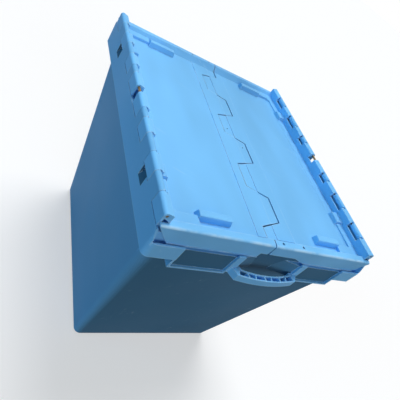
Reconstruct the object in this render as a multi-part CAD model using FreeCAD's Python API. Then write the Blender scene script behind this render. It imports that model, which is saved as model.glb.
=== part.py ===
"""Stacking crate with an attached two-flap lid: one moulded tub, two lid flaps, two wire hinge pins.

Frame: millimetres, X across the crate, Y along it (grips at both Y ends), Z up, floor at Z = 0.
Rim and lid sections are written as (u, w): u is the distance inboard of a hinge axis and
w is the height above it.
"""
import FreeCAD
import Part
import math
import os

# Overall sizes
OVERALL_WIDTH = 300.0
OVERALL_LENGTH = 391.0
OVERALL_HEIGHT = 322.0

# Hinge: knuckles on a straight wire along each long side
KNUCKLE_RADIUS = 3.6
PIN_RADIUS = 1.5
PIN_FIT = 0.04
PIN_RUNNING_CLEARANCE = 0.09
PIN_RECESS = 0.6
KNUCKLE_GAP = 0.4
NOTCH_LENGTH = 3.4
NOTCH_OVERLAP = 0.4
# Ends of the knuckles, measured from the middle of the crate along the hinge
KNUCKLE_ENDS = (6.1, 32.0, 48.1, 71.5, 97.6, 122.4, 146.6, 172.8)

# Tub
WALL = 2.2
FLOOR_THICKNESS = 3.0
BASE_HALF_WIDTH = 112.5
BASE_HALF_LENGTH = 137.0
BASE_CORNER_RADIUS = 9.0
TUB_CORNER_RADIUS = 14.0
RIM_OVERHANG = 10.2
BASE_EDGE_RADIUS = 3.0
FOOT_HEIGHT = 2.0
FOOT_INSET = 9.0
FOOT_WIDTH = 4.0
NUB_WIDTH = 6.0
NUB_OFFSET = 26.0

# Rim band, heights below the hinge axis
RIM_HALF_LENGTH = 182.5
RIM_THICKNESS = 2.2
RIM_CORNER_RADIUS = 7.0
RIM_BOTTOM_DROP = 45.0
LEDGE_DROP = 26.3
CHANNEL_DEPTH = 4.4
SIDE_WALL_END_Y = 176.0
SIDE_WALL_RUNOUT = 5.5
FLANGE_THICKNESS = 2.2
UPSTAND_FACE = 175.2
SIDE_RIB_PITCH = 40.0
SIDE_RIB_THICKNESS = 1.8
WINDOW_START = 101.5
WINDOW_LENGTH = 16.0
WINDOW_BOTTOM_DROP = 26.3

# End band: recessed panels, cheeks and the arched grip
PANEL_INNER = 50.5
PANEL_OUTER = 116.5
PANEL_RECESS = 3.2
PANEL_BOTTOM_DROP = 58.4
PANEL_LIP_INSET = 0.6
CHEEK_INNER = 42.0
GRIP_TOP_DROP = 44.5
GRIP_HEIGHT = 9.0
GRIP_CORNER_SETBACK = 4.0
GRIP_WIDTH = 7.4
GRIP_SKIN = 1.5
GRIP_POCKETS = 7
GRIP_POCKET_DEPTH = 6.5
GRIP_TRUSS_LEAN = 1.7
GRIP_END_FLARE = 0.6
WING_REACH = 28.0

# Lid flaps
PLATE_THICKNESS = 2.2
PLATE_DROP = 14.4
LID_REST_GAP = 0.4
WEB_THICKNESS = 2.0
WEB_CLEARANCE = 0.8
WEB_TOP_DROP = 4.7
HOOK_DROP = 12.4
HOOK_CLEARANCE = 1.0
SEAM_REACH = 15.0
SEAM_PITCH = 47.25
SEAM_SLANT = 5.4
SEAM_CROSSINGS = 7
SEAM_GAP = 1.5
SEAM_RELIEF = 0.4
SEAM_RELIEF_HEIGHT = 1.1
SKIRT_SEAM_RELIEF = 0.9
SEAM_BAND_HALF = 28.0
SEAM_BAND_RISE = 0.7
SIDE_BORDER_WIDTH = 13.0
SIDE_BORDER_RISE = 1.4
CORNER_PAD_RISE = 3.6
CORNER_PAD_WIDTH = 10.0
CORNER_PAD_START = 153.0
CORNER_PAD_CHAMFER = 5.0
END_EDGE_DROP = 6.5
END_RAMP_START = 162.0
END_RAMP_LENGTH = 7.0
SKIRT_THICKNESS = 2.0
SKIRT_CLEARANCE = 0.8
SKIRT_BOTTOM_DROP = 27.5
SKIRT_LIP = 0.8
SKIRT_END_INSET = 0.6
SKIRT_CORNER_SLOPE = 16.0
ARCH_DROP = 21.0
ARCH_HALF_WIDTH = 25.5
ARCH_STEP = 1.0
ARCH_SLOPE = 19.0
END_LUG_START = 64.0
END_LUG_LENGTH = 41.0
END_LUG_WIDTH = 10.5
END_LUG_SETBACK = 4.0
END_LUG_RISE = 8.0
SIDE_LUG_START = 98.0
SIDE_LUG_LENGTH = 19.0
SIDE_LUG_WIDTH = 12.0
SIDE_LUG_RISE = 6.9
LUG_DRAFT = 1.4
SEAL_HOLE_RADIUS = 1.7
SEAL_HOLES_X = (-3.0, 28.0)
TOOTH_HOLE_RADIUS = 1.2

# Places worked out from the sizes above
AXIS_X = OVERALL_WIDTH / 2 - KNUCKLE_RADIUS
AXIS_Z = OVERALL_HEIGHT - KNUCKLE_RADIUS
RIM_BOTTOM_Z = AXIS_Z - RIM_BOTTOM_DROP
LEDGE_Z = AXIS_Z - LEDGE_DROP
CHANNEL_Z = LEDGE_Z - CHANNEL_DEPTH
PANEL_BOTTOM_Z = AXIS_Z - PANEL_BOTTOM_DROP
PLATE_TOP_Z = AXIS_Z - PLATE_DROP
PLATE_BOTTOM_Z = PLATE_TOP_Z - PLATE_THICKNESS
FLANGE_TOP_Z = PLATE_BOTTOM_Z - LID_REST_GAP
FLANGE_BOTTOM_Z = FLANGE_TOP_Z - FLANGE_THICKNESS
WALL_TOP_Z = AXIS_Z - HOOK_DROP - HOOK_CLEARANCE
SKIRT_INNER_Y = UPSTAND_FACE + SKIRT_CLEARANCE
SKIRT_OUTER_Y = SKIRT_INNER_Y + SKIRT_THICKNESS
HINGE_END_Y = KNUCKLE_ENDS[-1]
WEB_OUTER_X = AXIS_X - KNUCKLE_RADIUS - WEB_CLEARANCE
WEB_INNER_X = WEB_OUTER_X - WEB_THICKNESS
PANEL_FACE_Y = RIM_HALF_LENGTH - PANEL_RECESS
UP = FreeCAD.Vector(0, 0, 1)
# How far joined forms of one moulding reach into each other
JOIN = 0.5


def box(x0, x1, y0, y1, z0, z1):
    """Box between two corners, given in either order."""
    low = FreeCAD.Vector(min(x0, x1), min(y0, y1), min(z0, z1))
    return Part.makeBox(abs(x1 - x0), abs(y1 - y0), abs(z1 - z0), low)


def prism(points, axis, start, end):
    """Straight prism of a flat outline, from start to end along the named axis.

    The outline is given as (y, z) for axis x, (x, z) for axis y and (x, y) for axis z.
    """
    place = {
        "x": lambda a, b: FreeCAD.Vector(start, a, b),
        "y": lambda a, b: FreeCAD.Vector(a, start, b),
        "z": lambda a, b: FreeCAD.Vector(a, b, start),
    }[axis]
    direction = {"x": (1, 0, 0), "y": (0, 1, 0), "z": (0, 0, 1)}[axis]
    corners = [place(a, b) for a, b in points]
    face = Part.Face(Part.makePolygon(corners + corners[:1]))
    return face.extrude(FreeCAD.Vector(*direction) * (end - start))


def rounded_rectangle(half_x, half_y, radius, z):
    """Wire of a rectangle centred on the Z axis, with round corners."""
    corner = 1 - math.sqrt(0.5)
    edges = []
    starts = []
    for sx, sy in ((1, 1), (-1, 1), (-1, -1), (1, -1)):
        on_y_face = FreeCAD.Vector(sx * (half_x - radius), sy * half_y, z)
        on_x_face = FreeCAD.Vector(sx * half_x, sy * (half_y - radius), z)
        middle = FreeCAD.Vector(sx * (half_x - radius * corner), sy * (half_y - radius * corner), z)
        first, last = (on_x_face, on_y_face) if sx == sy else (on_y_face, on_x_face)
        starts.append((first, middle, last))
    for index, (first, middle, last) in enumerate(starts):
        edges.append(Part.Arc(first, middle, last).toShape())
        following = starts[(index + 1) % 4][0]
        edges.append(Part.LineSegment(last, following).toShape())
    return Part.Wire(edges)


def rounded_block(half_x, half_y, radius, z0, z1):
    """Upright block with round vertical corners."""
    face = Part.Face(rounded_rectangle(half_x, half_y, radius, z0))
    return face.extrude(UP * (z1 - z0))


def fuse(shapes):
    """One solid out of several touching ones."""
    joined = shapes[0].multiFuse(list(shapes[1:]))
    return joined.removeSplitter()


def mirrored(shape, x=False, y=False):
    """Copy of a shape on the other side of the crate."""
    copy = shape
    if x:
        copy = copy.mirror(FreeCAD.Vector(0, 0, 0), FreeCAD.Vector(1, 0, 0))
    if y:
        copy = copy.mirror(FreeCAD.Vector(0, 0, 0), FreeCAD.Vector(0, 1, 0))
    return copy


def on_four_sides(shape):
    """A feature of one quarter of the crate, repeated in all four."""
    return [shape, mirrored(shape, x=True), mirrored(shape, y=True), mirrored(shape, x=True, y=True)]


def hinge_spans(first):
    """Knuckle spans (start, end) on the +Y half, taking every second one from first."""
    ends = KNUCKLE_ENDS
    return [(ends[i] + KNUCKLE_GAP / 2, ends[i + 1] - KNUCKLE_GAP / 2) for i in range(first, len(ends) - 1, 2)]


def wire_along_y(radius, y0, y1):
    """Round bar on the +X hinge axis."""
    return Part.makeCylinder(radius, y1 - y0, FreeCAD.Vector(AXIS_X, y0, AXIS_Z), FreeCAD.Vector(0, 1, 0))


def knuckle_notches():
    """Openings on the inboard side of the +X hinge where two knuckles meet, beside the wire."""
    inner_x = AXIS_X - KNUCKLE_RADIUS - NOTCH_OVERLAP
    outer_x = AXIS_X - PIN_RADIUS + NOTCH_OVERLAP
    low_z = AXIS_Z - KNUCKLE_RADIUS
    half = NOTCH_LENGTH / 2
    notches = [box(inner_x, outer_x, y - half, y + half, low_z, OVERALL_HEIGHT) for y in KNUCKLE_ENDS[1:-1]]
    return notches + [mirrored(notch, y=True) for notch in notches]


# --- Container -----------------------------------------------------------------------------

def tub_half_sizes(z):
    """Outer half width and half length of the tapered tub at height z."""
    share = (z - FOOT_HEIGHT) / (RIM_BOTTOM_Z - FOOT_HEIGHT)
    top_x = OVERALL_WIDTH / 2 - RIM_OVERHANG
    top_y = RIM_HALF_LENGTH - RIM_OVERHANG
    half_x = BASE_HALF_WIDTH + (top_x - BASE_HALF_WIDTH) * share
    half_y = BASE_HALF_LENGTH + (top_y - BASE_HALF_LENGTH) * share
    return half_x, half_y


def tub_shape(inset, z0, z1, low_radius, high_radius):
    """Tapered block that follows the tub's walls, inset from their outer faces."""
    low_x, low_y = tub_half_sizes(z0)
    high_x, high_y = tub_half_sizes(z1)
    low = rounded_rectangle(low_x - inset, low_y - inset, low_radius, z0)
    high = rounded_rectangle(high_x - inset, high_y - inset, high_radius, z1)
    return Part.makeLoft([low, high], True, True)


def tub_outside():
    """Outer form of the tub with its rounded bottom edge and the stacking foot under it."""
    body = tub_shape(0, FOOT_HEIGHT, FLANGE_TOP_Z, BASE_CORNER_RADIUS, TUB_CORNER_RADIUS)
    bottom_edges = [edge for edge in body.Edges if edge.BoundBox.ZMax < FOOT_HEIGHT + 0.01]
    body = body.makeFillet(BASE_EDGE_RADIUS, bottom_edges)
    foot_x = BASE_HALF_WIDTH - FOOT_INSET
    foot_y = BASE_HALF_LENGTH - FOOT_INSET
    foot = rounded_block(foot_x, foot_y, BASE_CORNER_RADIUS, 0, FOOT_HEIGHT + BASE_EDGE_RADIUS)
    hollow = rounded_block(foot_x - FOOT_WIDTH, foot_y - FOOT_WIDTH, BASE_CORNER_RADIUS, 0, FOOT_HEIGHT)
    nub_y = BASE_HALF_LENGTH - BASE_EDGE_RADIUS
    nub = box(NUB_OFFSET, NUB_OFFSET + NUB_WIDTH, foot_y - FOOT_WIDTH, nub_y, 0, FOOT_HEIGHT + BASE_EDGE_RADIUS)
    return fuse([body, foot.cut(hollow), mirrored(nub, x=True, y=True), nub])


def tub_inside():
    """Space inside the tub, open through the flange."""
    inner_z = FOOT_HEIGHT + FLOOR_THICKNESS
    low_radius = BASE_CORNER_RADIUS - WALL
    high_radius = TUB_CORNER_RADIUS - WALL
    above_flange = FLANGE_TOP_Z + 1
    return tub_shape(WALL, inner_z, above_flange, low_radius, high_radius)


def side_wall():
    """Long side wall of the rim above the band, running down to the ledge past the hinge."""
    half_x = OVERALL_WIDTH / 2
    high_y = SIDE_WALL_END_Y
    low_y = high_y + SIDE_WALL_RUNOUT
    outline = [(-low_y, LEDGE_Z), (-high_y, WALL_TOP_Z), (high_y, WALL_TOP_Z), (low_y, LEDGE_Z)]
    wall = prism(outline, "x", half_x - RIM_THICKNESS, half_x)
    return wall.common(rounded_block(half_x, RIM_HALF_LENGTH, RIM_CORNER_RADIUS, LEDGE_Z, WALL_TOP_Z))


def rim_shell():
    """Outer band of the rim with its end ledges and the flange that the lid rests on."""
    half_x = OVERALL_WIDTH / 2
    inner_radius = RIM_CORNER_RADIUS - RIM_THICKNESS
    ceiling_z = CHANNEL_Z - FLANGE_THICKNESS
    band = rounded_block(half_x, RIM_HALF_LENGTH, RIM_CORNER_RADIUS, RIM_BOTTOM_Z, LEDGE_Z)
    hollow = rounded_block(half_x - RIM_THICKNESS, RIM_HALF_LENGTH - RIM_THICKNESS, inner_radius,
                           RIM_BOTTOM_Z, ceiling_z)
    side = side_wall()
    inside_y = UPSTAND_FACE - RIM_THICKNESS
    inside_x = half_x - RIM_THICKNESS
    upper = box(-half_x, half_x, -UPSTAND_FACE, UPSTAND_FACE, ceiling_z, FLANGE_TOP_Z)
    upper_hollow = box(-inside_x, inside_x, -inside_y, inside_y, ceiling_z, FLANGE_BOTTOM_Z)
    return fuse([band.cut(hollow), side, mirrored(side, x=True), upper]).cut(upper_hollow)


def skirt_channel():
    """Channel along the +Y end that the lid skirts hang in, behind the rim band's edge."""
    inside_x = OVERALL_WIDTH / 2 - RIM_THICKNESS
    return box(-inside_x, inside_x, UPSTAND_FACE, RIM_HALF_LENGTH - RIM_THICKNESS, CHANNEL_Z, FLANGE_TOP_Z)


def rim_ribs():
    """Gusset ribs under the flange, between the tub wall and the rim band."""
    tub_x, _ = tub_half_sizes(RIM_BOTTOM_Z)
    outer_x = OVERALL_WIDTH / 2 - RIM_THICKNESS / 2
    ribs = []
    count = int(HINGE_END_Y // SIDE_RIB_PITCH)
    for index in range(count + 1):
        y = index * SIDE_RIB_PITCH
        rib = box(tub_x - WALL / 2, outer_x, y, y + SIDE_RIB_THICKNESS, RIM_BOTTOM_Z + RIM_THICKNESS, FLANGE_TOP_Z)
        ribs += on_four_sides(rib) if index else [rib, mirrored(rib, x=True)]
    return ribs


def window_cuts():
    """Windows through the rim wall beside the side lugs, with a ramp for their sill."""
    half_x = OVERALL_WIDTH / 2
    inner_x, _ = tub_half_sizes(FLANGE_BOTTOM_Z)
    inner_x = inner_x + RIM_THICKNESS
    end = WINDOW_START + WINDOW_LENGTH
    sill_z = AXIS_Z - WINDOW_BOTTOM_DROP
    void = [(inner_x, FLANGE_TOP_Z), (half_x, sill_z), (half_x, WALL_TOP_Z), (inner_x, WALL_TOP_Z)]
    under = [(inner_x, FLANGE_TOP_Z), (half_x, sill_z), (half_x, sill_z - RIM_THICKNESS),
             (inner_x - RIM_THICKNESS, FLANGE_BOTTOM_Z)]
    cut = prism(void, "y", WINDOW_START, end)
    ramp = prism(under, "y", WINDOW_START - RIM_THICKNESS, end + RIM_THICKNESS)
    return cut, ramp


def grip_outline(offset):
    """Plan outline points (x, y) of the arched grip's outer edge moved inwards by offset."""
    crown_y = OVERALL_LENGTH / 2 - offset
    corner_x = CHEEK_INNER - offset
    corner_y = crown_y - GRIP_CORNER_SETBACK
    return corner_x, corner_y, crown_y


def grip_block(offset, z0, z1):
    """Upright block bounded outwards by the arched edge of the grip."""
    corner_x, corner_y, crown_y = grip_outline(offset)
    root_y = RIM_HALF_LENGTH - RIM_THICKNESS
    root_x = corner_x + (corner_y - root_y) * GRIP_END_FLARE
    left = FreeCAD.Vector(-corner_x, corner_y, z0)
    crown = FreeCAD.Vector(0, crown_y, z0)
    right = FreeCAD.Vector(corner_x, corner_y, z0)
    right_root = FreeCAD.Vector(root_x, root_y, z0)
    left_root = FreeCAD.Vector(-root_x, root_y, z0)
    edges = [
        Part.Arc(left, crown, right).toShape(),
        Part.LineSegment(right, right_root).toShape(),
        Part.LineSegment(right_root, left_root).toShape(),
        Part.LineSegment(left_root, left).toShape(),
    ]
    return Part.Face(Part.Wire(edges)).extrude(UP * (z1 - z0))


def end_grip():
    """Arched grip of the +Y end, trussed pockets open upwards, with its two cheeks."""
    top_z = AXIS_Z - GRIP_TOP_DROP
    low_z = top_z - GRIP_HEIGHT
    bar = grip_block(0, low_z, top_z).cut(grip_block(GRIP_WIDTH, low_z, top_z))
    pocket_floor = top_z - GRIP_POCKET_DEPTH
    channel = grip_block(GRIP_SKIN, pocket_floor, top_z).cut(grip_block(GRIP_WIDTH - GRIP_SKIN, pocket_floor, top_z))
    span = 2 * (CHEEK_INNER - 2 * GRIP_SKIN)
    pitch = span / GRIP_POCKETS
    near_y = OVERALL_LENGTH / 2 - 2 * GRIP_WIDTH - GRIP_CORNER_SETBACK
    trusses = []
    for index in range(GRIP_POCKETS + 1):
        x = (index - GRIP_POCKETS / 2) * pitch
        lean = GRIP_TRUSS_LEAN if index % 2 else -GRIP_TRUSS_LEAN
        half = GRIP_SKIN / 2
        plan = [(x - half - lean, near_y), (x + half - lean, near_y),
                (x + half + lean, OVERALL_LENGTH / 2), (x - half + lean, OVERALL_LENGTH / 2)]
        trusses.append(prism(plan, "z", pocket_floor, top_z))
    keep = box(-span / 2, span / 2, 0, OVERALL_LENGTH, pocket_floor, top_z)
    channel = channel.common(keep)
    for truss in trusses:
        channel = channel.cut(truss)
    bar = bar.cut(channel)
    cheek_back = tub_half_sizes(low_z)[1] - WALL / 2
    cheek = box(CHEEK_INNER, PANEL_INNER, cheek_back, RIM_HALF_LENGTH, low_z, LEDGE_Z)
    wing_plan = [(CHEEK_INNER, cheek_back), (CHEEK_INNER, PANEL_FACE_Y),
                 (CHEEK_INNER - WING_REACH, cheek_back + WALL), (CHEEK_INNER - WING_REACH, cheek_back)]
    wing = prism(wing_plan, "z", low_z, CHANNEL_Z)
    return [bar, cheek, mirrored(cheek, x=True), wing, mirrored(wing, x=True)]


def end_panel():
    """Recessed panel of the +X +Y quarter, its side walls and bottom lip."""
    back_y = PANEL_FACE_Y - RIM_THICKNESS
    wall_y = tub_half_sizes(PANEL_BOTTOM_Z)[1] - WALL / 2
    face = box(CHEEK_INNER, PANEL_OUTER, back_y, PANEL_FACE_Y, PANEL_BOTTOM_Z, CHANNEL_Z)
    lip_y = RIM_HALF_LENGTH - PANEL_LIP_INSET
    lip = box(PANEL_INNER - RIM_THICKNESS, PANEL_OUTER, back_y, lip_y, PANEL_BOTTOM_Z, PANEL_BOTTOM_Z + RIM_THICKNESS)
    side = box(PANEL_OUTER - RIM_THICKNESS, PANEL_OUTER, wall_y, lip_y, PANEL_BOTTOM_Z, LEDGE_Z)
    inner = box(PANEL_INNER - RIM_THICKNESS, PANEL_INNER, wall_y, lip_y, PANEL_BOTTOM_Z, LEDGE_Z)
    return [face, lip, side, inner]


def end_cut():
    """Space cleared out of the rim band for one end: both panels and the hand opening."""
    half = PANEL_OUTER - RIM_THICKNESS
    top_z = LEDGE_Z + 1
    panels = box(-half, half, PANEL_FACE_Y, RIM_HALF_LENGTH + 1, RIM_BOTTOM_Z - 1, top_z)
    hand = box(-CHEEK_INNER, CHEEK_INNER, UPSTAND_FACE, RIM_HALF_LENGTH + 1, RIM_BOTTOM_Z - 1, top_z)
    behind_y = UPSTAND_FACE - RIM_THICKNESS
    behind = box(-CHEEK_INNER, CHEEK_INNER, behind_y, RIM_HALF_LENGTH, RIM_BOTTOM_Z - 1, FLANGE_BOTTOM_Z)
    return [panels, hand, behind]


def rim_knuckles():
    """Knuckles of the +X rim wall that hold the wire, on both halves of its length."""
    half_x = OVERALL_WIDTH / 2
    knuckles = []
    for start, end in hinge_spans(1):
        barrel = wire_along_y(KNUCKLE_RADIUS, start, end)
        post = box(half_x - RIM_THICKNESS, half_x, start, end, WALL_TOP_Z - 1, AXIS_Z)
        knuckle = fuse([barrel, post])
        knuckles += [knuckle, mirrored(knuckle, y=True)]
    notches = knuckle_notches()
    return [knuckle.cut(notches) for knuckle in knuckles]


def container():
    """Tub, rim band, end grips and rim knuckles, moulded in one piece."""
    rim = rim_shell()
    cut, ramp = window_cuts()
    for side in on_four_sides(cut):
        rim = rim.cut(side)
    for piece in end_cut():
        rim = rim.cut(piece).cut(mirrored(piece, y=True))
    pieces = [tub_outside(), rim] + rim_ribs() + on_four_sides(ramp)
    for piece in end_panel():
        pieces += on_four_sides(piece)
    for piece in end_grip():
        pieces += [piece, mirrored(piece, y=True)]
    for knuckle in rim_knuckles():
        pieces += [knuckle, mirrored(knuckle, x=True)]
    channel = skirt_channel()
    body = fuse(pieces).cut(tub_inside()).cut(channel).cut(mirrored(channel, y=True))
    bore = wire_along_y(PIN_RADIUS + PIN_FIT, -HINGE_END_Y, HINGE_END_Y)
    body = body.cut(bore).cut(mirrored(bore, x=True))
    return body.removeSplitter()


# --- Lid flaps ------------------------------------------------------------------------------

def seam_path():
    """Zigzag line (x, y) between the flaps, from the +Y end to the -Y end."""
    points = [(SEAM_REACH, SKIRT_OUTER_Y + 5)]
    side = 1
    for index in range(SEAM_CROSSINGS):
        y = ((SEAM_CROSSINGS - 1) / 2 - index) * SEAM_PITCH
        points.append((side * SEAM_REACH, y + SEAM_SLANT))
        points.append((-side * SEAM_REACH, y - SEAM_SLANT))
        side = -side
    points.append((side * SEAM_REACH, -SKIRT_OUTER_Y - 5))
    return points


def moved_path(points, distance):
    """Open path moved sideways by a distance, to its left as it runs, with mitred corners."""
    lines = []
    for (x0, y0), (x1, y1) in zip(points, points[1:]):
        length = math.hypot(x1 - x0, y1 - y0)
        nx = -(y1 - y0) / length
        ny = (x1 - x0) / length
        lines.append((x0 + nx * distance, y0 + ny * distance, x1 - x0, y1 - y0))
    moved = [lines[0][:2]]
    for (px, py, dx, dy), (qx, qy, ex, ey) in zip(lines, lines[1:]):
        t = ((qx - px) * ey - (qy - py) * ex) / (dx * ey - dy * ex)
        moved.append((px + dx * t, py + dy * t))
    px, py, dx, dy = lines[-1]
    moved.append((px + dx, py + dy))
    return moved


def flap_region(z0, z1, edge_gap):
    """Upright block over the +X flap: everything on its side of the seam, less half the gap."""
    edge = moved_path(seam_path(), edge_gap)
    far_x = OVERALL_WIDTH
    outline = edge + [(far_x, edge[-1][1]), (far_x, edge[0][1])]
    return prism(outline, "z", z0, z1)


def trimmed_to_seam(body):
    """Flap cut along the seam, with its lower edge and skirt ends relieved for the swing."""
    step_z = PLATE_BOTTOM_Z + SEAM_RELIEF_HEIGHT
    upper = flap_region(step_z, OVERALL_HEIGHT, SEAM_GAP / 2)
    lower = flap_region(0, step_z, SEAM_GAP / 2 + SEAM_RELIEF)
    body = body.common(fuse([upper, lower]))
    for side in (1, -1):
        edge_x = side * SEAM_REACH + SEAM_GAP / 2
        wedge = [(edge_x, PLATE_TOP_Z), (edge_x + SKIRT_SEAM_RELIEF, AXIS_Z - ARCH_DROP),
                 (edge_x + SKIRT_SEAM_RELIEF, 0), (edge_x - SEAM_GAP, 0), (edge_x - SEAM_GAP, PLATE_TOP_Z)]
        y0, y1 = side * SKIRT_INNER_Y, side * (SKIRT_OUTER_Y + 2 * SKIRT_LIP)
        body = body.cut(prism(wedge, "y", y0, y1))
    return body


def lug(x0, x1, y0, y1, z0, rise):
    """Stacking lug with drafted sides."""
    base = [FreeCAD.Vector(x, y, z0) for x, y in ((x0, y0), (x1, y0), (x1, y1), (x0, y1), (x0, y0))]
    d = LUG_DRAFT
    corners = ((x0 + d, y0 + d), (x1 - d, y0 + d), (x1 - d, y1 - d), (x0 + d, y1 - d), (x0 + d, y0 + d))
    top = [FreeCAD.Vector(x, y, z0 + rise) for x, y in corners]
    return Part.makeLoft([Part.makePolygon(base), Part.makePolygon(top)], True, True)


def flap_plate():
    """Plate of the +X flap with its raised seam band, side border and corner pads."""
    far = END_RAMP_START
    plate = box(-OVERALL_WIDTH, WEB_INNER_X + JOIN, -far, far, PLATE_BOTTOM_Z, PLATE_TOP_Z)
    band = box(0, SEAM_BAND_HALF, -far, far, PLATE_BOTTOM_Z, PLATE_TOP_Z + SEAM_BAND_RISE)
    border_x = WEB_INNER_X - SIDE_BORDER_WIDTH
    border = prism([(border_x, PLATE_BOTTOM_Z), (border_x, PLATE_TOP_Z),
                    (border_x + 2 * SIDE_BORDER_RISE, PLATE_TOP_Z + SIDE_BORDER_RISE),
                    (WEB_OUTER_X, PLATE_TOP_Z + SIDE_BORDER_RISE), (WEB_OUTER_X, PLATE_BOTTOM_Z)],
                   "y", -far, far)
    pad_top = PLATE_TOP_Z + CORNER_PAD_RISE
    pad_x = WEB_INNER_X - CORNER_PAD_WIDTH
    start_x = END_LUG_START + END_LUG_LENGTH - LUG_DRAFT
    side_y = SIDE_LUG_START + SIDE_LUG_LENGTH
    ramp_y = far + END_RAMP_LENGTH / 2
    outer = [(WEB_OUTER_X, side_y), (WEB_OUTER_X, ramp_y), (start_x, ramp_y), (start_x, CORNER_PAD_START)]
    chamfered = outer + [(pad_x - CORNER_PAD_CHAMFER, CORNER_PAD_START),
                         (pad_x, CORNER_PAD_START - CORNER_PAD_CHAMFER), (pad_x, side_y)]
    square = outer + [(pad_x, CORNER_PAD_START), (pad_x, side_y)]
    square = [(x, -y) for x, y in square]
    pads = [prism(plan, "z", PLATE_BOTTOM_Z, pad_top) for plan in (chamfered, square)]
    return [plate, band, border] + pads


def flap_end(y_sign):
    """End of the +X flap: ramp, flat edge strip and the skirt that overlaps the rim end."""
    edge_z = AXIS_Z - END_EDGE_DROP
    skirt_z = AXIS_Z - SKIRT_BOTTOM_DROP
    ramp_top_y = END_RAMP_START + END_RAMP_LENGTH
    outline = [(END_RAMP_START - 1, PLATE_BOTTOM_Z), (END_RAMP_START - 1, PLATE_TOP_Z),
               (END_RAMP_START, PLATE_TOP_Z), (ramp_top_y, edge_z), (SKIRT_OUTER_Y, edge_z),
               (SKIRT_OUTER_Y, skirt_z + SKIRT_LIP), (SKIRT_OUTER_Y + SKIRT_LIP, skirt_z + SKIRT_LIP),
               (SKIRT_OUTER_Y + SKIRT_LIP, skirt_z), (SKIRT_INNER_Y, skirt_z),
               (SKIRT_INNER_Y, edge_z - PLATE_THICKNESS), (ramp_top_y + 1, edge_z - PLATE_THICKNESS),
               (END_RAMP_START + 1, PLATE_BOTTOM_Z)]
    outline = [(y_sign * y, z) for y, z in outline]
    end_x = OVERALL_WIDTH / 2 - SKIRT_END_INSET
    strip = prism(outline, "x", -OVERALL_WIDTH, end_x)
    clear_of_hinge = box(WEB_OUTER_X, end_x + 1, 0, y_sign * (HINGE_END_Y + KNUCKLE_GAP), 0, OVERALL_HEIGHT)
    strip = strip.cut(clear_of_hinge)
    slope_z = edge_z - PLATE_THICKNESS
    slope = [(end_x + 1, skirt_z), (end_x - SKIRT_CORNER_SLOPE, skirt_z), (end_x, slope_z), (end_x + 1, slope_z)]
    corner = prism(slope, "y", y_sign * SKIRT_INNER_Y, y_sign * (SKIRT_OUTER_Y + 2 * SKIRT_LIP))
    return strip.cut(corner)


def arch_cut():
    """Relief in the -Y end skirts over the hand opening: steep on one side, long on the other."""
    low_z = AXIS_Z - SKIRT_BOTTOM_DROP
    high_z = AXIS_Z - ARCH_DROP
    outline = [(-ARCH_HALF_WIDTH - ARCH_STEP, low_z), (-ARCH_HALF_WIDTH, high_z),
               (ARCH_HALF_WIDTH, high_z), (ARCH_HALF_WIDTH + ARCH_SLOPE, low_z)]
    return prism(outline, "y", -SKIRT_OUTER_Y - 2 * SKIRT_LIP, -SKIRT_INNER_Y)


def flap_lugs():
    """Stacking lugs on the +X flap that locate the crate above."""
    lugs = []
    for sign in (1, -1):
        outer_y = END_RAMP_START - END_LUG_SETBACK
        low, high = sorted((sign * outer_y, sign * (outer_y - END_LUG_WIDTH)))
        end_x = END_LUG_START + END_LUG_LENGTH
        lugs.append(lug(END_LUG_START, end_x, low, high, PLATE_TOP_Z - JOIN, END_LUG_RISE))
        low, high = sorted((sign * SIDE_LUG_START, sign * (SIDE_LUG_START + SIDE_LUG_LENGTH)))
        side_x = WEB_INNER_X - SIDE_LUG_WIDTH
        lugs.append(lug(side_x, WEB_OUTER_X, low, high, PLATE_TOP_Z - JOIN, SIDE_LUG_RISE))
    return lugs


def flap_hinge():
    """Web along the +X hinge and the flap's knuckles with their outer hooks."""
    web = box(WEB_INNER_X, WEB_OUTER_X, -HINGE_END_Y, HINGE_END_Y, PLATE_BOTTOM_Z, AXIS_Z - WEB_TOP_DROP)
    half_x = OVERALL_WIDTH / 2
    hook_z = AXIS_Z - HOOK_DROP
    pieces = [web]
    for start, end in hinge_spans(0):
        barrel = wire_along_y(KNUCKLE_RADIUS, start, end)
        bridge = prism([(AXIS_X, AXIS_Z + KNUCKLE_RADIUS), (AXIS_X, AXIS_Z - KNUCKLE_RADIUS),
                        (WEB_OUTER_X, AXIS_Z - KNUCKLE_RADIUS - WEB_THICKNESS), (WEB_INNER_X, AXIS_Z - WEB_TOP_DROP),
                        (WEB_INNER_X, AXIS_Z + KNUCKLE_RADIUS / 2)], "y", start, end)
        hook = box(half_x - RIM_THICKNESS, half_x, start, end, hook_z, AXIS_Z)
        knuckle = fuse([barrel, bridge, hook])
        pieces += [knuckle, mirrored(knuckle, y=True)]
    return pieces


def lid_flap():
    """The +X flap; the -X flap is the same moulding turned half a turn."""
    body = fuse(flap_plate() + [flap_end(1), flap_end(-1)] + flap_lugs())
    arch = arch_cut()
    body = trimmed_to_seam(body.cut(arch).cut(half_turn(arch)))
    edge_z = AXIS_Z - END_EDGE_DROP
    strip_y = (END_RAMP_START + END_RAMP_LENGTH + SKIRT_INNER_Y) / 2
    for x in SEAL_HOLES_X:
        centre = FreeCAD.Vector(x, -strip_y, edge_z - 2 * PLATE_THICKNESS)
        body = body.cut(Part.makeCylinder(SEAL_HOLE_RADIUS, 3 * PLATE_THICKNESS, centre, UP))
    hole = FreeCAD.Vector(-SEAM_REACH / 2, SEAM_PITCH / 3, PLATE_BOTTOM_Z - 1)
    body = body.cut(Part.makeCylinder(TOOTH_HOLE_RADIUS, 2 * PLATE_THICKNESS, hole, UP))
    body = fuse([body] + flap_hinge())
    bore = wire_along_y(PIN_RADIUS + PIN_RUNNING_CLEARANCE, -HINGE_END_Y - 1, HINGE_END_Y + 1)
    return body.cut([bore] + knuckle_notches()).removeSplitter()


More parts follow.
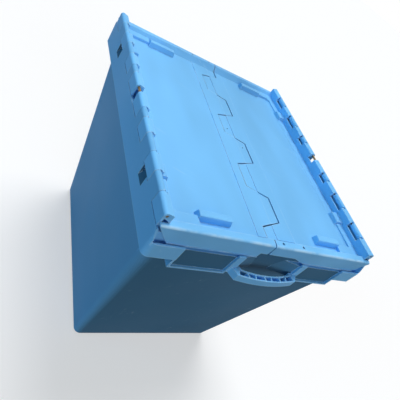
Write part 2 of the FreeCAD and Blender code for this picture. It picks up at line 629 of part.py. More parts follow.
def hinge_pin():
    """Straight steel wire through every knuckle of the +X hinge."""
    end_y = HINGE_END_Y - PIN_RECESS
    return wire_along_y(PIN_RADIUS, -end_y, end_y)


def half_turn(shape):
    """Copy of a shape turned half a turn about the crate's upright axis."""
    copy = shape.copy()
    copy.rotate(FreeCAD.Vector(0, 0, 0), UP, 180)
    return copy


def export(name, shape):
    """Write one sub-part and say how large it is."""
    bounds = shape.BoundBox
    print(name, "solids", len(shape.Solids), "valid", shape.isValid(), "volume", round(shape.Volume),
          "x", round(bounds.XMin, 1), round(bounds.XMax, 1), "y", round(bounds.YMin, 1), round(bounds.YMax, 1),
          "z", round(bounds.ZMin, 1), round(bounds.ZMax, 1))
    shape.exportStep("parts/" + name + ".step")


def main():
    os.makedirs("parts", exist_ok=True)
    flap = lid_flap()
    pin = hinge_pin()
    export("container", container())
    export("lid_flap_right", flap)
    export("lid_flap_left", half_turn(flap))
    export("hinge_pin_right", pin)
    export("hinge_pin_left", half_turn(pin))


main()
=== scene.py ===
"""Stacking crate with an attached two-flap lid.

The moulded tub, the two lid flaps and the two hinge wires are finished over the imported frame:
edges are rounded as a mould rounds them, the wires are sheared and chamfered at their ends, and
every surface gets its own moulded plastic or plated steel. Lengths are metres, +Z is up and the
crate stands on Z = 0.
"""

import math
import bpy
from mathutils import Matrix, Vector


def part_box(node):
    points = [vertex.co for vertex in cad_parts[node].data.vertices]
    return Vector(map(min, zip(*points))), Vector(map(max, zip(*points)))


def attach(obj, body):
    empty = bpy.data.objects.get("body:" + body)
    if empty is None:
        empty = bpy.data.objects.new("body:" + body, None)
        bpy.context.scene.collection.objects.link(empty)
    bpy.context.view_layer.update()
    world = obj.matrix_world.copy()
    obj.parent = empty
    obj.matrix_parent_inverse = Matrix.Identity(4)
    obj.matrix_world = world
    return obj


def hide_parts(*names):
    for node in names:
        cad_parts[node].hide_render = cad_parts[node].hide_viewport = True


bl_info = {
    "name": "Stacking Crate",
    "version": (1, 0, 0),
    "blender": (4, 5, 0),
    "location": "View3D > Sidebar > Crate",
    "description": "Finishes a stacking crate's tub, lid flaps and hinge wires, and sets up its studio",
    "category": "Add Mesh",
}

import bmesh
import bpy
from bpy.props import FloatProperty, FloatVectorProperty, IntProperty, PointerProperty

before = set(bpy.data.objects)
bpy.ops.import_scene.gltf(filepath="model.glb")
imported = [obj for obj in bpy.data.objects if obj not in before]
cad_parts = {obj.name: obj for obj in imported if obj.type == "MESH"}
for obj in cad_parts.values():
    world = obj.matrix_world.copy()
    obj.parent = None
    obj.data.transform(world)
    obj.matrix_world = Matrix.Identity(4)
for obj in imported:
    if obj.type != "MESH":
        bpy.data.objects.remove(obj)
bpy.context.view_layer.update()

# Joining the frame's faces and rounding edges
MERGE_DISTANCE = 2e-6
FLAT_ANGLE = math.radians(0.5)
SHARP_ANGLE = math.radians(35)
STRAY_ANGLE = math.radians(40)
ROOM_NEEDED = 2.1
STRIP_PERIMETER = 6
STRIP_WIDTH = 0.8
END_SEGMENTS = 5
WIRE_FACETS = 32
WIRE_SEGMENTS = 2

# Tub: depths from the top and the sides of its box
GRIP_DEPTH = 0.0075
RIM_DEPTH = 0.062
HINGE_DEPTH = 0.017
RIM_SKIN = 0.0018
PANEL_TOP_DROP = 0.0295
PANEL_FACE_DEPTH = 0.01615

# Tub: windows and hand openings from its middle, and how its faces are told apart
WINDOW_START = 0.098
WINDOW_END = 0.121
OPENING_HALF = 0.042
WING_LEANS = (0.02, 0.5)
PANEL_FACING = 0.9
PLANE_TOLERANCE = 0.0003
WALL_REACH = 0.02

# Lid flaps: depths from the top, ends and hinge side of their boxes, and the lean of their rounds
SKIRT_LIP = 0.0009
STRIP_DROP = 0.0105
HINGE_WIDTH = 0.0101
LUG_DROP = 0.0145
ROUND_LEAN = 0.1

# Plastics: face marks for painted shade and painted highlights, how much painted shade they ask for, and
# gloss
WALL_SHADE_MARK = "painted_shade_textured_wall"
ROUND_HIGHLIGHT_MARK = "painted_round_highlight"
SIDE_LESS_SHADE = 0.6
WING_SHADE = 0.85
WALL_ROUGHER = 0.14
PLASTIC_ROUGHNESS = 0.44
PLASTIC_IOR = 1.49
GLOSS_LEVEL = 0.03

# Studio
WHITE = (1, 1, 1)
COOL_LIGHT = (0.2, 0.66, 1)
FRONT_ELEVATION = math.radians(14)
SIDE_ELEVATION = math.radians(10)
FLOOR_SIZE = 30
FLOOR_DROP = 0.0001
FLOOR_SHARE = 0.5
FLOOR_BOUNCE = 0.06


# --- Settings -------------------------------------------------------------------------------

class CrateSizes(bpy.types.PropertyGroup):
    """Radii and wire details that the moulding shop would set."""

    edge_radius: FloatProperty(
        name="Edge radius", description="Radius on every edge of a moulding that has no other one",
        default=0.0005, min=0.0001, max=0.001, subtype="DISTANCE", unit="LENGTH", precision=5)
    small_radius: FloatProperty(
        name="Small radius", description="Radius on edges of details too small for the edge radius",
        default=0.0002, min=0.0001, max=0.0004, subtype="DISTANCE", unit="LENGTH", precision=5)
    edge_segments: IntProperty(
        name="Edge segments", description="Facets across a rounded edge", default=3, min=1, max=5)
    end_radius: FloatProperty(
        name="Lid end radius", description="Radius where the lid's end strip turns down into its skirt",
        default=0.003, min=0.001, max=0.004, subtype="DISTANCE", unit="LENGTH", precision=4)
    lug_radius: FloatProperty(
        name="Lug radius", description="Radius along the top of the stacking lugs and corner pads",
        default=0.001, min=0.0004, max=0.0015, subtype="DISTANCE", unit="LENGTH", precision=4)
    grip_radius: FloatProperty(
        name="Grip radius", description="Radius along the edges of the two hand grips",
        default=0.0009, min=0.0004, max=0.0015, subtype="DISTANCE", unit="LENGTH", precision=4)
    wire_chamfer: FloatProperty(
        name="Wire chamfer", description="Chamfer on the sheared ends of the hinge wires",
        default=0.0004, min=0.0001, max=0.0006, subtype="DISTANCE", unit="LENGTH", precision=5)


class CrateColours(bpy.types.PropertyGroup):
    """Colours of the plastics and of the wire."""

    lid: FloatVectorProperty(
        name="Lid and rim", description="Light blue plastic of the lid flaps, rim and grips",
        default=(0.20, 0.54, 0.92), min=0, max=1, size=3, subtype="COLOR")
    # Painted shade: this deeper blue stands in for the shade on the tub's walls and recessed panels
    # under the rim, behind the windows and in the hand openings.
    wall: FloatVectorProperty(
        name="Tub wall", description="Deeper blue of the tub's textured walls under the rim",
        default=(0.052, 0.155, 0.27), min=0, max=1, size=3, subtype="COLOR")
    # Painted highlight: this pale colour paints the highlights along edges and marked rounds, and also
    # the real scuffs and rubbing marks.
    pale_wear_and_highlight: FloatVectorProperty(
        name="Worn edge", description="Paler plastic along handled edges",
        default=(0.48, 0.74, 0.96), min=0, max=1, size=3, subtype="COLOR")
    wire: FloatVectorProperty(
        name="Wire", description="Yellow zinc plating of the hinge wires",
        default=(0.17, 0.12, 0.065), min=0, max=1, size=3, subtype="COLOR")


class StudioSettings(bpy.types.PropertyGroup):
    """Floor, lamps and camera."""

    camera_place: FloatVectorProperty(
        name="Camera place", description="Where the camera stands",
        default=(-0.2981, -0.3544, 0.5210), size=3, subtype="TRANSLATION", unit="LENGTH")
    camera_turn: FloatVectorProperty(
        name="Camera turn", description="How the camera is turned",
        default=(math.radians(46.536), math.radians(-32.543), math.radians(-15.452)),
        size=3, subtype="EULER")
    lens: FloatProperty(
        name="Lens", description="Focal length on a 36 mm wide sensor", default=34.32, min=10, max=200)
    key_strength: FloatProperty(
        name="Key lamp", description="Strength of the soft lamp above the lid",
        default=2.42, min=0, max=10)
    key_elevation: FloatProperty(
        name="Key elevation", description="Height of the key lamp above the horizon",
        default=math.radians(67), min=0, max=math.radians(90), subtype="ANGLE", unit="ROTATION")
    front_strength: FloatProperty(
        name="Front lamp", description="Strength of the soft lamp before the near end",
        default=1.08, min=0, max=10)
    side_strength: FloatProperty(
        name="Side lamp", description="Strength of the cool soft lamp beside the tub",
        default=1.12, min=0, max=10)
    room_strength: FloatProperty(
        name="Room light", description="Strength of the even light from all around",
        default=0.15, min=0, max=2)


# --- Modelling helpers ----------------------------------------------------------------------

def make_active(piece):
    """Select one object alone, so that the next operators act on nothing else."""
    bpy.ops.object.select_all(action="DESELECT")
    piece.select_set(True)
    bpy.context.view_layer.objects.active = piece


def merged_copy(node_name, piece_name):
    """Copy a frame node as one closed mesh with whole flat faces."""
    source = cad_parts[node_name]
    piece = bpy.data.objects.new(piece_name, source.data.copy())
    piece.data.name = piece_name
    piece.data.materials.clear()
    bpy.context.scene.collection.objects.link(piece)
    make_active(piece)
    bpy.ops.object.mode_set(mode="EDIT")
    bpy.ops.mesh.select_all(action="SELECT")
    bpy.ops.mesh.remove_doubles(threshold=MERGE_DISTANCE)
    bpy.ops.mesh.dissolve_limited(angle_limit=FLAT_ANGLE)
    bpy.ops.object.mode_set(mode="OBJECT")
    return piece


def has_room(edge, least):
    """Whether all edges that meet an edge are long enough, and its faces wide enough, to round it."""
    meeting = {near for corner in edge.verts for near in corner.link_edges}
    if any(near.calc_length() < least for near in meeting):
        return False
    for face in edge.link_faces:
        around = face.calc_perimeter()
        is_strip = around > STRIP_PERIMETER * least
        if is_strip and 2 * face.calc_area() < STRIP_WIDTH * least * around:
            return False
    return True


def round_edges(piece, radius, segments, wanted=lambda place: True, least=None, clamp=True):
    """Round the sharp edges whose two ends are wanted and that have room for it.

    The least length of the edges that meet them follows from the radius unless it is given.
    """
    least = ROOM_NEEDED * radius if least is None else least
    make_active(piece)
    bpy.ops.object.mode_set(mode="EDIT")
    bpy.ops.mesh.select_mode(type="EDGE")
    bpy.ops.mesh.select_all(action="DESELECT")
    mesh = bmesh.from_edit_mesh(piece.data)
    found = False
    for edge in mesh.edges:
        sharp = edge.is_manifold and edge.calc_face_angle(0) > SHARP_ANGLE
        if sharp and all(wanted(corner.co) for corner in edge.verts) and has_room(edge, least):
            edge.select_set(True)
            found = True
    bmesh.update_edit_mesh(piece.data)
    if found:
        bpy.ops.mesh.bevel(offset=radius, segments=segments, affect="EDGES", clamp_overlap=clamp)
        bpy.ops.mesh.select_all(action="SELECT")
        bpy.ops.mesh.remove_doubles(threshold=MERGE_DISTANCE)
        bpy.ops.mesh.dissolve_degenerate(threshold=MERGE_DISTANCE)
    bpy.ops.object.mode_set(mode="OBJECT")


def soften(piece):
    """Round what is still sharp and smooth the shading between flat faces that stay flat."""
    sizes = bpy.context.scene.crate_sizes
    round_edges(piece, sizes.edge_radius, sizes.edge_segments)
    round_edges(piece, sizes.small_radius, 1)
    bpy.ops.object.shade_smooth_by_angle(angle=SHARP_ANGLE)
    normals = piece.modifiers.new("Flat faces", "WEIGHTED_NORMAL")
    normals.keep_sharp = True
    bpy.ops.object.modifier_apply(modifier=normals.name)
    settle_normals(piece)


def settle_normals(piece):
    """Give a corner whose shading strays far from its flat face that face's own normal."""
    mesh = piece.data
    normals = [corner.vector.copy() for corner in mesh.corner_normals]
    for face in mesh.polygons:
        for corner in face.loop_indices:
            if normals[corner].dot(face.normal) < math.cos(STRAY_ANGLE):
                normals[corner] = face.normal.copy()
    mesh.normals_split_custom_set(normals)


def mark_wall_shade(tub, high):
    """Mark how much painted shade each face of the tub gets, laid on as the deeper wall colour.

    The painted shade is most on the end walls and end panels, less on the long sides, and also goes
    behind the windows and onto the wings in the hand openings.
    """
    mark = tub.data.attributes.new(WALL_SHADE_MARK, "FLOAT", "FACE")
    corners = tub.data.vertices
    wall_top = high.z - RIM_DEPTH
    panel_top = high.z - PANEL_TOP_DROP
    panel_y = high.y - PANEL_FACE_DEPTH
    least_lean, most_lean = WING_LEANS
    for face in tub.data.polygons:
        x, y, z = (abs(part) for part in face.center)
        lean = abs(face.normal.x)
        lowest = min(corners[index].co.z for index in face.vertices)
        in_panel_plane = abs(y - panel_y) < PLANE_TOLERANCE and abs(face.normal.y) > PANEL_FACING
        on_panel = in_panel_plane and z < panel_top
        inside_rim = z < high.z - HINGE_DEPTH and x < high.x - RIM_SKIN
        behind_window = inside_rim and WINDOW_START < y < WINDOW_END
        in_opening = x < OPENING_HALF and y < high.y - GRIP_DEPTH
        on_wing = in_opening and least_lean < lean < most_lean
        if min(z, lowest + WALL_REACH) < wall_top:
            shade_tone = 1 - SIDE_LESS_SHADE * lean
        elif on_wing:
            shade_tone = WING_SHADE
        elif on_panel or behind_window:
            shade_tone = 1
        else:
            shade_tone = 0
        mark.data[face.index].value = shade_tone


def mark_round_highlight(flap, skirt, end_radius):
    """Mark a painted highlight on the round along a flap's ends, most where it leans halfway between
    strip and skirt.
    """
    mark = flap.data.attributes.new(ROUND_HIGHLIGHT_MARK, "FLOAT", "FACE")
    for face in flap.data.polygons:
        on_round = abs(face.center.y) > skirt - end_radius and abs(face.normal.x) < ROUND_LEAN
        mark.data[face.index].value = 2 * abs(face.normal.y * face.normal.z) if on_round else 0


def finish_piece(piece, body, node_name, material):
    """Give a piece its plastic or metal and let it stand for its frame node."""
    piece.data.materials.clear()
    piece.data.materials.append(material)
    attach(piece, body)
    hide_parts(node_name)


# --- Material helpers -----------------------------------------------------------------------

def add(tree, kind, x, y, values=(), **settings):
    """Add a node at a place in its tree, with its settings and unlinked input values."""
    made = tree.nodes.new(kind)
    made.location = (x, y)
    for name, value in settings.items():
        setattr(made, name, value)
    for name, value in values:
        made.inputs[name].default_value = value
    return made


def new_group(name, inputs, outputs):
    """Start a shader node group; inputs are (name, socket type, default)."""
    tree = bpy.data.node_groups.new(name, "ShaderNodeTree")
    for socket_name, kind, default in inputs:
        socket = tree.interface.new_socket(socket_name, in_out="INPUT", socket_type=kind)
        socket.default_value = default
    for socket_name, kind in outputs:
        tree.interface.new_socket(socket_name, in_out="OUTPUT", socket_type=kind)
    return tree, tree.nodes.new("NodeGroupInput"), tree.nodes.new("NodeGroupOutput")


def ramp_between(tree, x, y, low, high):
    """A map range node that turns low..high smoothly into 0..1."""
    made = add(tree, "ShaderNodeMapRange", x, y, clamp=True, interpolation_type="SMOOTHSTEP")
    made.inputs["From Min"].default_value = low
    made.inputs["From Max"].default_value = high
    return made


def send_mask(tree, first, second, start, end):
    """Multiply two masks and the group's Amount into its Mask."""
    both = add(tree, "ShaderNodeMath", -100, 0, operation="MULTIPLY")
    share = add(tree, "ShaderNodeMath", 80, 0, operation="MULTIPLY", use_clamp=True)
    tree.links.new(first, both.inputs[0])
    tree.links.new(second, both.inputs[1])
    tree.links.new(both.outputs["Value"], share.inputs[0])
    tree.links.new(start.outputs["Amount"], share.inputs[1])
    tree.links.new(share.outputs["Value"], end.inputs["Mask"])


def flow_patches_group():
    """Soft light and dark patches that flow and cooling leave in a large moulded panel."""
    tree, start, end = new_group(
        "Flow Patches",
        [("Colour", "NodeSocketColor", (0.2, 0.5, 0.9, 1)), ("Scale", "NodeSocketFloat", 6.0),
         ("Amount", "NodeSocketFloat", 0.06)],
        [("Colour", "NodeSocketColor")])
    place = add(tree, "ShaderNodeTexCoord", -900, 0)
    turn = add(tree, "ShaderNodeMapping", -700, 0)
    turn.inputs["Rotation"].default_value = (0, 0, math.radians(35))
    turn.inputs["Scale"].default_value = (1, 0.35, 1)
    broad = add(tree, "ShaderNodeTexNoise", -500, 0, [("Detail", 3.0), ("Roughness", 0.55)])
    spread = ramp_between(tree, -300, 0, low=0.3, high=0.7)
    spread.inputs["To Min"].default_value = -1
    size = add(tree, "ShaderNodeMath", -120, 0, operation="MULTIPLY_ADD")
    size.inputs[2].default_value = 1
    tint = add(tree, "ShaderNodeHueSaturation", 80, 0)
    tree.links.new(place.outputs["Object"], turn.inputs["Vector"])
    tree.links.new(turn.outputs["Vector"], broad.inputs["Vector"])
    tree.links.new(start.outputs["Scale"], broad.inputs["Scale"])
    tree.links.new(broad.outputs["Fac"], spread.inputs["Value"])
    tree.links.new(spread.outputs["Result"], size.inputs[0])
    tree.links.new(start.outputs["Amount"], size.inputs[1])
    tree.links.new(size.outputs["Value"], tint.inputs["Value"])
    tree.links.new(start.outputs["Colour"], tint.inputs["Color"])
    tree.links.new(tint.outputs["Color"], end.inputs["Colour"])
    return tree


def scuffs_group():
    """Thin pale rub marks from sliding and stacking."""
    tree, start, end = new_group(
        "Scuffs",
        [("Scale", "NodeSocketFloat", 18.0), ("Amount", "NodeSocketFloat", 0.3),
         ("Turn", "NodeSocketFloat", 0.4)],
        [("Mask", "NodeSocketFloat")])
    place = add(tree, "ShaderNodeTexCoord", -1100, 0)
    spin = add(tree, "ShaderNodeVectorRotate", -900, 0, rotation_type="Z_AXIS")
    stretch = add(tree, "ShaderNodeMapping", -700, 0)
    stretch.inputs["Scale"].default_value = (1, 14, 3)
    lines = add(tree, "ShaderNodeTexNoise", -500, 100, [("Detail", 4.0), ("Roughness", 0.7)])
    thin = ramp_between(tree, -300, 100, low=0.6, high=0.76)
    areas = add(tree, "ShaderNodeTexNoise", -500, -200, [("Scale", 9.0), ("Detail", 1.0)])
    where = ramp_between(tree, -300, -200, low=0.45, high=0.62)
    tree.links.new(place.outputs["Object"], spin.inputs["Vector"])
    tree.links.new(start.outputs["Turn"], spin.inputs["Angle"])
    tree.links.new(spin.outputs["Vector"], stretch.inputs["Vector"])
    tree.links.new(stretch.outputs["Vector"], lines.inputs["Vector"])
    tree.links.new(start.outputs["Scale"], lines.inputs["Scale"])
    tree.links.new(place.outputs["Object"], areas.inputs["Vector"])
    tree.links.new(lines.outputs["Fac"], thin.inputs["Value"])
    tree.links.new(areas.outputs["Fac"], where.inputs["Value"])
    send_mask(tree, thin.outputs["Result"], where.outputs["Result"], start, end)
    return tree


def edge_wear_and_highlight_group():
    """Mask of pale edges, partly real rubbing by hands and neighbours and partly painted highlight, plus
    painted highlights on marked rounds, broken up by noise.
    """
    tree, start, end = new_group(
        "Edge Wear And Highlight",
        [("Amount", "NodeSocketFloat", 0.85), ("Radius", "NodeSocketFloat", 0.0015),
         ("Round Highlights", "NodeSocketFloat", 0.0)],
        [("Mask", "NodeSocketFloat")])
    rounded = add(tree, "ShaderNodeBevel", -700, 100, samples=4)
    surface = add(tree, "ShaderNodeNewGeometry", -700, -150)
    compare = add(tree, "ShaderNodeVectorMath", -500, 0, operation="DOT_PRODUCT")
    edge = ramp_between(tree, -300, 0, low=0.995, high=0.86)
    either = add(tree, "ShaderNodeMath", -200, 0, operation="MAXIMUM")
    place = add(tree, "ShaderNodeTexCoord", -700, -400)
    breaks = add(tree, "ShaderNodeTexNoise", -500, -400, [("Scale", 70.0), ("Detail", 3.0)])
    worn_and_highlit = ramp_between(tree, -300, -400, low=0.25, high=0.6)
    tree.links.new(start.outputs["Radius"], rounded.inputs["Radius"])
    tree.links.new(rounded.outputs["Normal"], compare.inputs[0])
    tree.links.new(surface.outputs["Normal"], compare.inputs[1])
    tree.links.new(compare.outputs["Value"], edge.inputs["Value"])
    tree.links.new(place.outputs["Object"], breaks.inputs["Vector"])
    tree.links.new(breaks.outputs["Fac"], worn_and_highlit.inputs["Value"])
    tree.links.new(edge.outputs["Result"], either.inputs[0])
    tree.links.new(start.outputs["Round Highlights"], either.inputs[1])
    send_mask(tree, either.outputs["Value"], worn_and_highlit.outputs["Result"], start, end)
    return tree


def moulded_grain_group():
    """Fine spark-eroded grain and the slight waviness of a thin moulded wall."""
    tree, start, end = new_group(
        "Moulded Grain",
        [("Grain", "NodeSocketFloat", 1400.0), ("Waviness", "NodeSocketFloat", 0.5)],
        [("Height", "NodeSocketFloat"), ("Roughness Shift", "NodeSocketFloat")])
    place = add(tree, "ShaderNodeTexCoord", -900, 0)
    fine = add(tree, "ShaderNodeTexNoise", -650, 150, [("Detail", 2.0)])
    broad = add(tree, "ShaderNodeTexNoise", -650, -150, [("Scale", 11.0), ("Detail", 1.0)])
    small = add(tree, "ShaderNodeMath", -400, 150, operation="MULTIPLY")
    small.inputs[1].default_value = 0.05
    large = add(tree, "ShaderNodeMath", -400, -150, operation="MULTIPLY")
    height = add(tree, "ShaderNodeMath", -200, 0, operation="ADD")
    shift = add(tree, "ShaderNodeMath", -200, -300, operation="MULTIPLY_ADD")
    shift.inputs[1].default_value = 0.16
    shift.inputs[2].default_value = -0.08
    tree.links.new(place.outputs["Object"], fine.inputs["Vector"])
    tree.links.new(place.outputs["Object"], broad.inputs["Vector"])
    tree.links.new(start.outputs["Grain"], fine.inputs["Scale"])
    tree.links.new(fine.outputs["Fac"], small.inputs[0])
    tree.links.new(broad.outputs["Fac"], large.inputs[0])
    tree.links.new(start.outputs["Waviness"], large.inputs[1])
    tree.links.new(small.outputs["Value"], height.inputs[0])
    tree.links.new(large.outputs["Value"], height.inputs[1])
    tree.links.new(broad.outputs["Fac"], shift.inputs[0])
    tree.links.new(height.outputs["Value"], end.inputs["Height"])
    tree.links.new(shift.outputs["Value"], end.inputs["Roughness Shift"])
    return tree


def shared_group(build, name):
    """The named node group, built on its first use."""
    return bpy.data.node_groups.get(name) or build()


def group_node(tree, build, name, x, y, **values):
    """Place a shared group in a material with its own values."""
    made = add(tree, "ShaderNodeGroup", x, y, node_tree=shared_group(build, name))
    for socket_name, value in values.items():
        made.inputs[socket_name].default_value = value
    return made


def mix_colours(tree, x, y, factor, first, second):
    """Mix by a factor socket from one colour to another; each colour is a socket or plain."""
    made = add(tree, "ShaderNodeMix", x, y, data_type="RGBA")
    tree.links.new(factor, made.inputs["Factor"])
    for colour, name in ((first, "A"), (second, "B")):
        if isinstance(colour, bpy.types.NodeSocket):
            tree.links.new(colour, made.inputs[name])
        else:
            made.inputs[name].default_value = (*colour, 1)
    return made.outputs["Result"]


def bare_material(name):
    """A new material with an empty node tree, and that tree."""
    material = bpy.data.materials.new(name)
    material.use_nodes = True
    material.node_tree.nodes.clear()
    return material, material.node_tree


def moulded_plastic(name, patch_scale, patch_amount, scuff_amount, shade_and_texture=False):
    """Moulded plastic with flow patches, scuffs and pale edges, partly real rubbing and partly painted
    highlight. If asked, its walls get painted shade and more roughness; otherwise marked rounds get a
    painted highlight.
    """
    colours = bpy.context.scene.crate_colours
    material, tree = bare_material(name)
    patches = group_node(tree, flow_patches_group, "Flow Patches", -900, 300,
                         Colour=(*colours.lid, 1), Scale=patch_scale, Amount=patch_amount)
    scuffs = group_node(tree, scuffs_group, "Scuffs", -900, 50, Amount=scuff_amount)
    wear_and_highlight = group_node(tree, edge_wear_and_highlight_group, "Edge Wear And Highlight", -900, -150)
    grain = group_node(tree, moulded_grain_group, "Moulded Grain", -900, -350)
    scuffed = mix_colours(
        tree, -600, 200, scuffs.outputs["Mask"], patches.outputs["Colour"], colours.pale_wear_and_highlight)
    # Pale edges: partly real rubbing marks, partly painted highlight along edges and marked rounds.
    worn_and_highlit = mix_colours(tree, -400, 200, wear_and_highlight.outputs["Mask"], scuffed, colours.pale_wear_and_highlight)
    rough = add(tree, "ShaderNodeMath", -400, -200, operation="ADD", use_clamp=True)
    rough.inputs[1].default_value = PLASTIC_ROUGHNESS
    bump = add(tree, "ShaderNodeBump", -400, -400, [("Strength", 0.35), ("Distance", 0.0006)])
    surface = add(tree, "ShaderNodeBsdfPrincipled", -100, 100,
                  [("IOR", PLASTIC_IOR), ("Specular IOR Level", GLOSS_LEVEL)])
    output = add(tree, "ShaderNodeOutputMaterial", 250, 100)
    # Painted shade: the mark mixes the deeper wall colour into the plastic and also makes the walls
    # rougher.
    if shade_and_texture:
        walls = add(tree, "ShaderNodeAttribute", -1350, 300, attribute_name=WALL_SHADE_MARK)
        shade_tone = mix_colours(tree, -1130, 300, walls.outputs["Fac"], colours.lid, colours.wall)
        duller = add(tree, "ShaderNodeMath", -600, -200, operation="MULTIPLY_ADD")
        duller.inputs[1].default_value = WALL_ROUGHER
        tree.links.new(shade_tone, patches.inputs["Colour"])
        tree.links.new(walls.outputs["Fac"], duller.inputs[0])
        tree.links.new(grain.outputs["Roughness Shift"], duller.inputs[2])
        tree.links.new(duller.outputs["Value"], rough.inputs[0])
    else:
        # Painted highlight on the marked rounds along the lid's ends.
        round_highlight = add(tree, "ShaderNodeAttribute", -1130, -150, attribute_name=ROUND_HIGHLIGHT_MARK)
        tree.links.new(round_highlight.outputs["Fac"], wear_and_highlight.inputs["Round Highlights"])
        tree.links.new(grain.outputs["Roughness Shift"], rough.inputs[0])
    tree.links.new(worn_and_highlit, surface.inputs["Base Color"])
    tree.links.new(rough.outputs["Value"], surface.inputs["Roughness"])
    tree.links.new(grain.outputs["Height"], bump.inputs["Height"])
    tree.links.new(bump.outputs["Normal"], surface.inputs["Normal"])
    tree.links.new(surface.outputs["BSDF"], output.inputs["Surface"])
    return material


def zinc_wire():
    """Yellow zinc on drawn wire, streaked along its length."""
    colours = bpy.context.scene.crate_colours
    material, tree = bare_material("Yellow Zinc Wire")
    patches = group_node(tree, flow_patches_group, "Flow Patches", -700, 200,
                         Colour=(*colours.wire, 1), Scale=60.0, Amount=0.2)
    place = add(tree, "ShaderNodeTexCoord", -1100, -200)
    along = add(tree, "ShaderNodeMapping", -900, -200)
    along.inputs["Scale"].default_value = (1, 0.02, 1)
    lines = add(tree, "ShaderNodeTexNoise", -700, -200, [("Scale", 2600.0), ("Detail", 2.0)])
    bump = add(tree, "ShaderNodeBump", -400, -250, [("Strength", 0.5), ("Distance", 0.0001)])
    surface = add(tree, "ShaderNodeBsdfPrincipled", -100, 100, [("Metallic", 0.85), ("Roughness", 0.48)])
    output = add(tree, "ShaderNodeOutputMaterial", 250, 100)
    tree.links.new(place.outputs["Object"], along.inputs["Vector"])
    tree.links.new(along.outputs["Vector"], lines.inputs["Vector"])
    tree.links.new(lines.outputs["Fac"], bump.inputs["Height"])
    tree.links.new(patches.outputs["Colour"], surface.inputs["Base Color"])
    tree.links.new(bump.outputs["Normal"], surface.inputs["Normal"])
    tree.links.new(surface.outputs["BSDF"], output.inputs["Surface"])
    return material


# --- Pieces ---------------------------------------------------------------------------------

class CRATE_OT_tub(bpy.types.Operator):
    """Make the moulded tub with its rim, grips and rim knuckles"""

    bl_idname = "crate.tub"
    bl_label = "Moulded Tub"

    def execute(self, context):
        sizes = context.scene.crate_sizes
        _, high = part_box("container")
        grip_face = high.y - GRIP_DEPTH
        tub = merged_copy("container", "crate_tub")
        round_edges(tub, sizes.grip_radius, sizes.edge_segments,
                    lambda place: abs(place.y) > grip_face)
        soften(tub)
        mark_wall_shade(tub, high)
        plastic = moulded_plastic(
            "Tub Plastic", patch_scale=3.5, patch_amount=0.07, scuff_amount=0.18, shade_and_texture=True)
        finish_piece(tub, "crate", "container", plastic)
        return {"FINISHED"}


class CRATE_OT_lid_flaps(bpy.types.Operator):
    """Make the two interlocking lid flaps"""

    bl_idname = "crate.lid_flaps"
    bl_label = "Lid Flaps"

    def execute(self, context):
        sizes = context.scene.crate_sizes
        plastic = moulded_plastic("Lid Plastic", patch_scale=6.0, patch_amount=0.15, scuff_amount=0.5)
        for side in ("left", "right"):
            node_name = "lid_flap_" + side
            low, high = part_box(node_name)
            skirt = high.y - SKIRT_LIP
            web = max(high.x, -low.x) - HINGE_WIDTH
            flap = merged_copy(node_name, "crate_lid_flap_" + side)
            strip = high.z - STRIP_DROP
            plate = high.z - LUG_DROP
            round_edges(flap, sizes.end_radius, END_SEGMENTS,
                        lambda place: abs(place.y) > skirt and place.z > strip, least=0, clamp=False)
            round_edges(flap, sizes.lug_radius, sizes.edge_segments,
                        lambda place: place.z > plate and abs(place.x) < web and abs(place.y) < skirt)
            soften(flap)
            mark_round_highlight(flap, skirt, sizes.end_radius)
            finish_piece(flap, "flap_" + side, node_name, plastic)
        return {"FINISHED"}


class CRATE_OT_hinge_wires(bpy.types.Operator):
    """Make the two plated hinge wires with chamfered ends"""

    bl_idname = "crate.hinge_wires"
    bl_label = "Hinge Wires"

    def execute(self, context):
        sizes = context.scene.crate_sizes
        metal = zinc_wire()
        for side in ("left", "right"):
            node_name = "hinge_pin_" + side
            low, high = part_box(node_name)
            middle = (low + high) / 2
            radius = (high.z - low.z) / 2
            bpy.ops.object.select_all(action="DESELECT")
            bpy.ops.mesh.primitive_cylinder_add(
                vertices=WIRE_FACETS, radius=radius, depth=high.y - low.y, location=middle,
                rotation=(math.radians(90), 0, 0))
            wire = context.object
            wire.name = "crate_hinge_wire_" + side
            bpy.ops.object.transform_apply(location=True, rotation=True, scale=True)
            round_edges(wire, sizes.wire_chamfer, WIRE_SEGMENTS, least=0)
            bpy.ops.object.shade_smooth_by_angle(angle=SHARP_ANGLE)
            finish_piece(wire, "crate", node_name, metal)
        return {"FINISHED"}


# --- Studio ---------------------------------------------------------------------------------

def soft_sun(name, strength, colour, elevation, azimuth, angle):
    """A sun lamp as wide as its angle, raised by its elevation and turned from the front.

    The azimuth and the angle are in degrees.
    """
    lamp = bpy.data.lights.new(name, "SUN")
    lamp.energy = strength
    lamp.color = colour
    lamp.angle = math.radians(angle)
    holder = bpy.data.objects.new(name, lamp)
    bpy.context.scene.collection.objects.link(holder)
    holder.rotation_euler = (math.radians(90) - elevation, 0, math.radians(azimuth))


def shown_directly(tree, x, y):
    """Factor that is 1 for rays seen by the camera, mirrored or through glass."""
    path = add(tree, "ShaderNodeLightPath", x, y)
    first = add(tree, "ShaderNodeMath", x + 200, y, operation="ADD", use_clamp=True)
    second = add(tree, "ShaderNodeMath", x + 380, y, operation="ADD", use_clamp=True)
    tree.links.new(path.outputs["Is Camera Ray"], first.inputs[0])
    tree.links.new(path.outputs["Is Glossy Ray"], first.inputs[1])
    tree.links.new(first.outputs["Value"], second.inputs[0])
    tree.links.new(path.outputs["Is Transmission Ray"], second.inputs[1])
    return second.outputs["Value"]


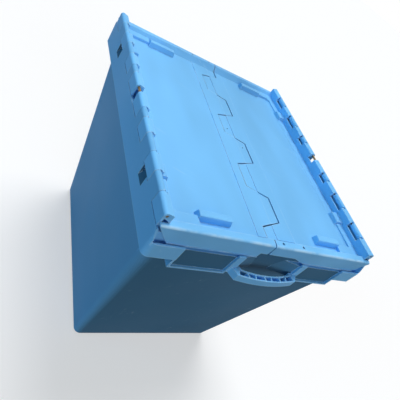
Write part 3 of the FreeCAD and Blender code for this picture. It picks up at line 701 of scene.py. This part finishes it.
def floor_material():
    """Floor that shows white under a light shadow and throws little light back up."""
    material = bpy.data.materials.new("Pale Floor")
    material.use_nodes = True
    tree = material.node_tree
    surface = tree.nodes["Principled BSDF"]
    surface.inputs["Roughness"].default_value = 0.9
    surface.inputs["Specular IOR Level"].default_value = 0
    surface.inputs["Emission Color"].default_value = (*WHITE, 1)
    shown = shown_directly(tree, -900, 0)
    colour = mix_colours(tree, -300, 0, shown, (FLOOR_BOUNCE,) * 3, (FLOOR_SHARE,) * 3)
    glow = add(tree, "ShaderNodeMath", -300, -250, operation="MULTIPLY")
    glow.inputs[1].default_value = 1 - FLOOR_SHARE
    tree.links.new(shown, glow.inputs[0])
    tree.links.new(colour, surface.inputs["Base Color"])
    tree.links.new(glow.outputs["Value"], surface.inputs["Emission Strength"])
    return material


class CRATE_OT_stage(bpy.types.Operator):
    """Set up the floor, the soft lamps, the room light and the camera"""

    bl_idname = "crate.stage"
    bl_label = "Studio"

    def execute(self, context):
        studio = context.scene.crate_studio
        scene = context.scene
        bpy.ops.object.select_all(action="DESELECT")
        bpy.ops.mesh.primitive_plane_add(size=FLOOR_SIZE, location=(0, 0, -FLOOR_DROP))
        floor = context.object
        floor.name = "studio_floor"
        floor.data.materials.append(floor_material())
        soft_sun("key_lamp", studio.key_strength, WHITE, studio.key_elevation, azimuth=150, angle=30)
        soft_sun("front_lamp", studio.front_strength, WHITE, FRONT_ELEVATION, azimuth=-5, angle=50)
        soft_sun("side_lamp", studio.side_strength, COOL_LIGHT, SIDE_ELEVATION, azimuth=-90, angle=50)
        world = bpy.data.worlds.new("Room")
        scene.world = world
        world.use_nodes = True
        tree = world.node_tree
        room = tree.nodes["Background"]
        shown = shown_directly(tree, -900, 300)
        grey = (studio.room_strength,) * 3
        tree.links.new(mix_colours(tree, -300, 200, shown, grey, WHITE), room.inputs["Color"])
        lens = bpy.data.cameras.new("camera")
        lens.lens = studio.lens
        lens.sensor_width = 36
        lens.clip_start = 0.01
        camera = bpy.data.objects.new("camera", lens)
        camera.location = studio.camera_place
        camera.rotation_euler = studio.camera_turn
        scene.collection.objects.link(camera)
        scene.camera = camera
        scene.view_settings.view_transform = "Standard"
        return {"FINISHED"}


# --- Sidebar --------------------------------------------------------------------------------

class CRATE_PT_sidebar(bpy.types.Panel):
    """Crate settings and the steps that make it"""

    bl_idname = "CRATE_PT_sidebar"
    bl_label = "Stacking Crate"
    bl_space_type = "VIEW_3D"
    bl_region_type = "UI"
    bl_category = "Crate"

    def draw(self, context):
        scene = context.scene
        for settings in (scene.crate_sizes, scene.crate_colours, scene.crate_studio):
            box = self.layout.box()
            for name in settings.__annotations__:
                box.prop(settings, name)
        for step in STEPS:
            self.layout.operator(step.bl_idname)


SETTINGS = (CrateSizes, CrateColours, StudioSettings)
STEPS = (CRATE_OT_tub, CRATE_OT_lid_flaps, CRATE_OT_hinge_wires, CRATE_OT_stage)


def register():
    """Make the settings, steps and sidebar known to Blender."""
    for kind in SETTINGS + STEPS + (CRATE_PT_sidebar,):
        bpy.utils.register_class(kind)
    bpy.types.Scene.crate_sizes = PointerProperty(type=CrateSizes)
    bpy.types.Scene.crate_colours = PointerProperty(type=CrateColours)
    bpy.types.Scene.crate_studio = PointerProperty(type=StudioSettings)


def unregister():
    """Take the settings, steps and sidebar away again."""
    del bpy.types.Scene.crate_studio
    del bpy.types.Scene.crate_colours
    del bpy.types.Scene.crate_sizes
    for kind in reversed(SETTINGS + STEPS + (CRATE_PT_sidebar,)):
        bpy.utils.unregister_class(kind)


def main():
    """Make every piece and the studio."""
    register()
    bpy.ops.crate.tub()
    bpy.ops.crate.lid_flaps()
    bpy.ops.crate.hinge_wires()
    bpy.ops.crate.stage()


if __name__ == "__main__":
    main()
